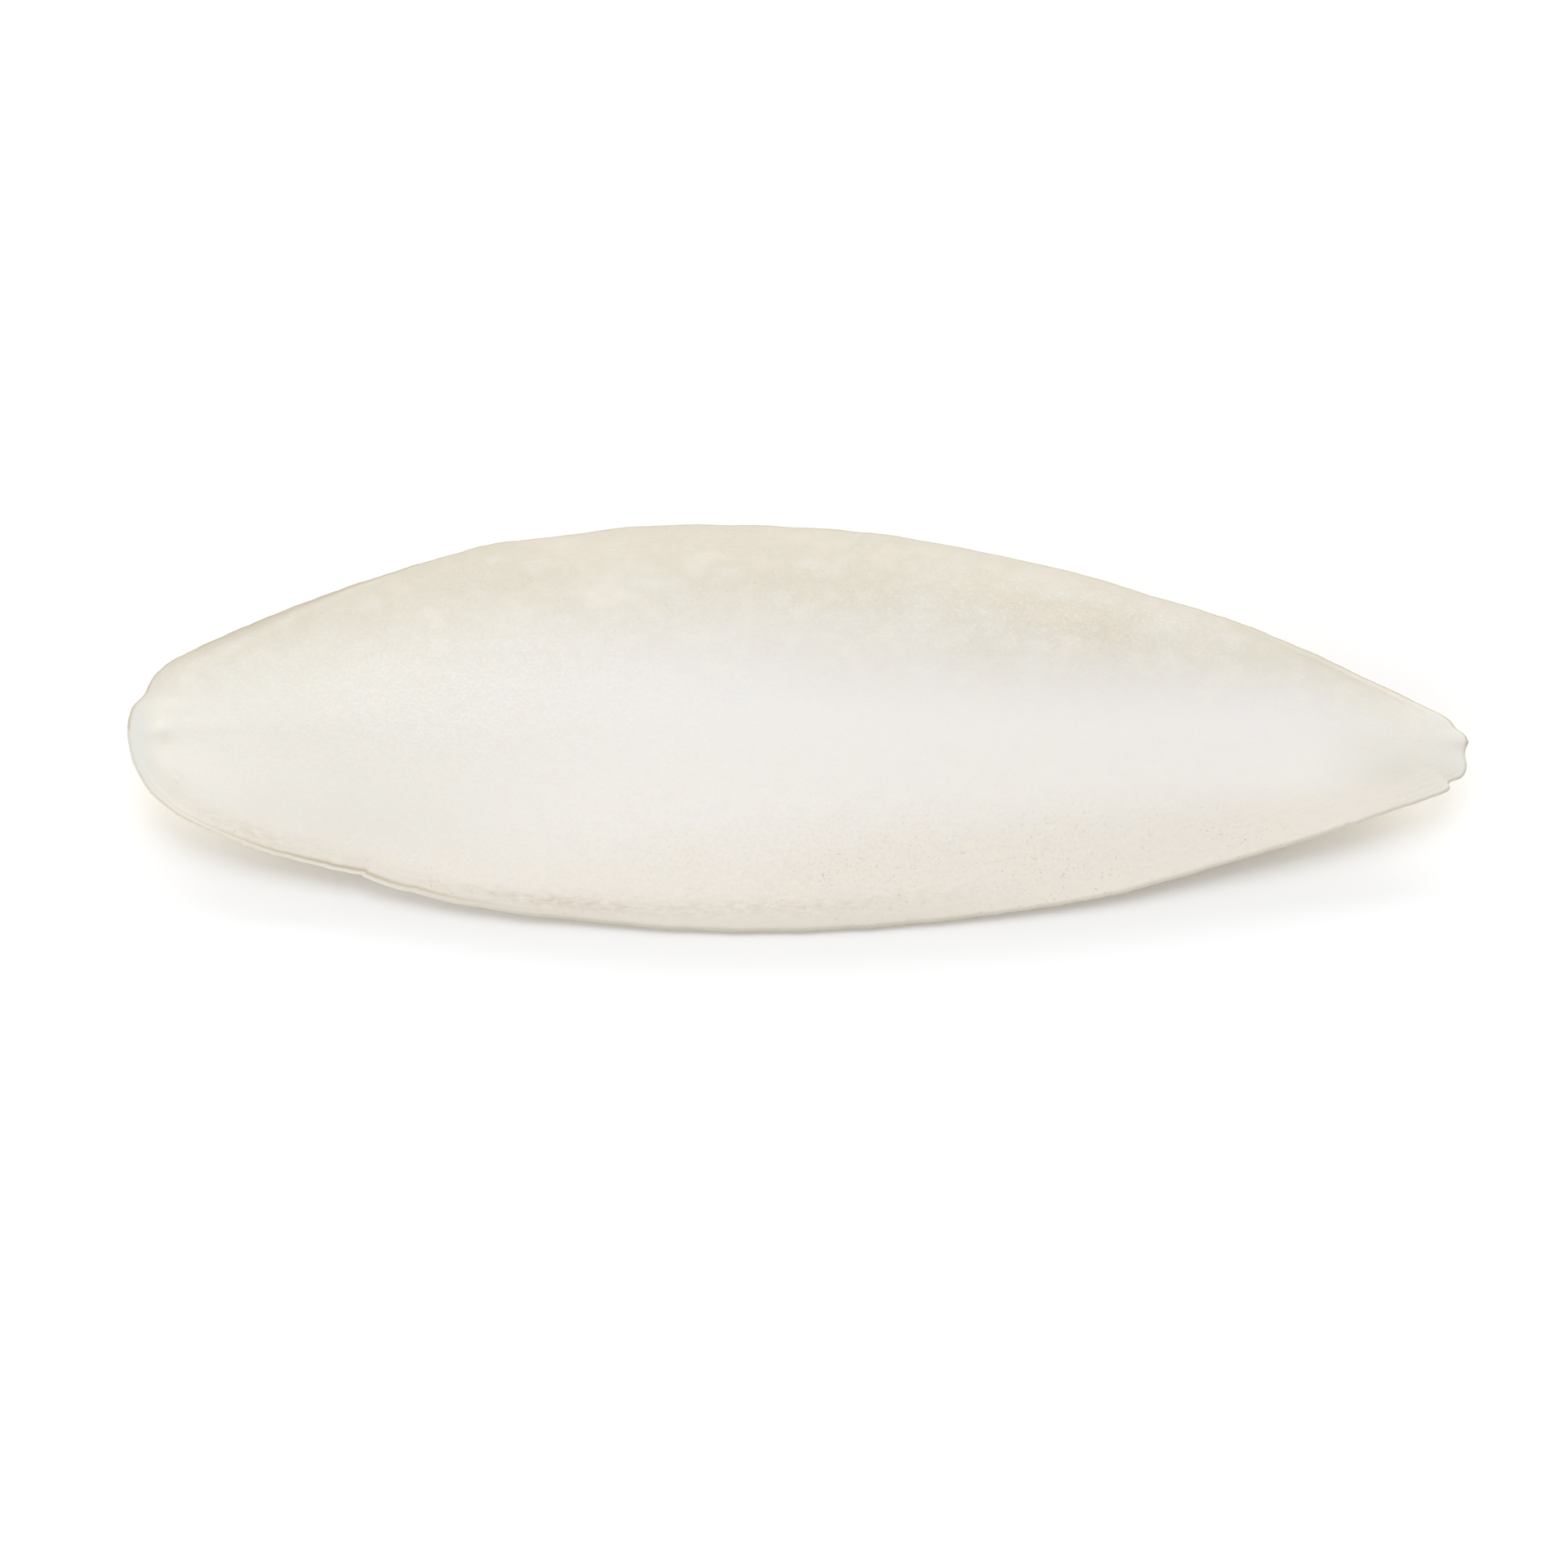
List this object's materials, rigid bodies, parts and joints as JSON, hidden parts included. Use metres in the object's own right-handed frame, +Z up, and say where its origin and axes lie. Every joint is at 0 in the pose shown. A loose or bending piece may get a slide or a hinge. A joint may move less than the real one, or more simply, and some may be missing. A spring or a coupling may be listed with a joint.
{
  "type": "cuttlebone",
  "caption": "Long lens-shaped cuttlebone with a domed grainy back, a chalky belly, a thin brim at its round tail and a chipped tip.",
  "frame": {"origin": "on the floor, under the middle of the bounding box of the bone as it lies on its belly", "axes": "+X along the bone towards its pointed front end, +Y across it towards the higher rim, +Z up"},
  "size_m": [0.175, 0.0576, 0.0142],
  "materials": {
    "chalky_shell": "matte"
  },
  "bodies": {
    "root": {"cuttlebone": "chalky_shell"}
  },
  "joints": []
}
